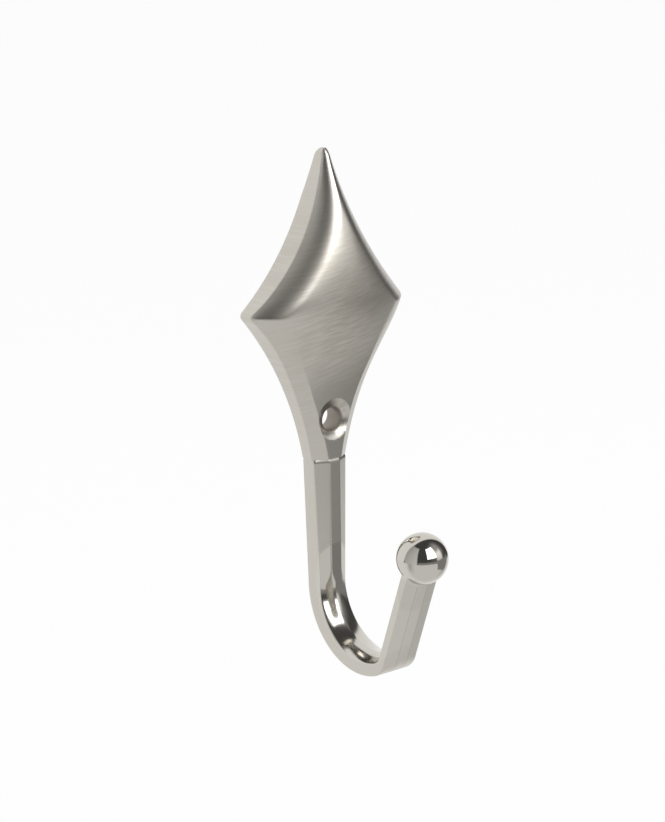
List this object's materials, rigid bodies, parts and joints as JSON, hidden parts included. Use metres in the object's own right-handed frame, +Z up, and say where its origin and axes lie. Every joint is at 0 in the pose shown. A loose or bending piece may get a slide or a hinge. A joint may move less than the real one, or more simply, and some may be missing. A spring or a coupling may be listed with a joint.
{
  "type": "curtain tieback hook",
  "caption": "Wall-fixed curtain tieback hook: a kite-shaped plate with a domed front and a countersunk screw hole, and a faceted bar bent into a J that ends in a ball.",
  "frame": {"origin": "where the axis of the screw hole meets the wall plane, which is the flat back of the plate", "axes": "+Z up the wall towards the tip of the plate, -Y out of the wall towards the room, +X to the right as seen from the room"},
  "size_m": [0.0284, 0.0275, 0.0793],
  "materials": {
    "satin_nickel": "satin nickel plating on a zinc die casting: brushed on the plate, polished on the ball and inside the bend"
  },
  "bodies": {
    "root": {"tieback_hook": "satin_nickel"}
  },
  "joints": []
}
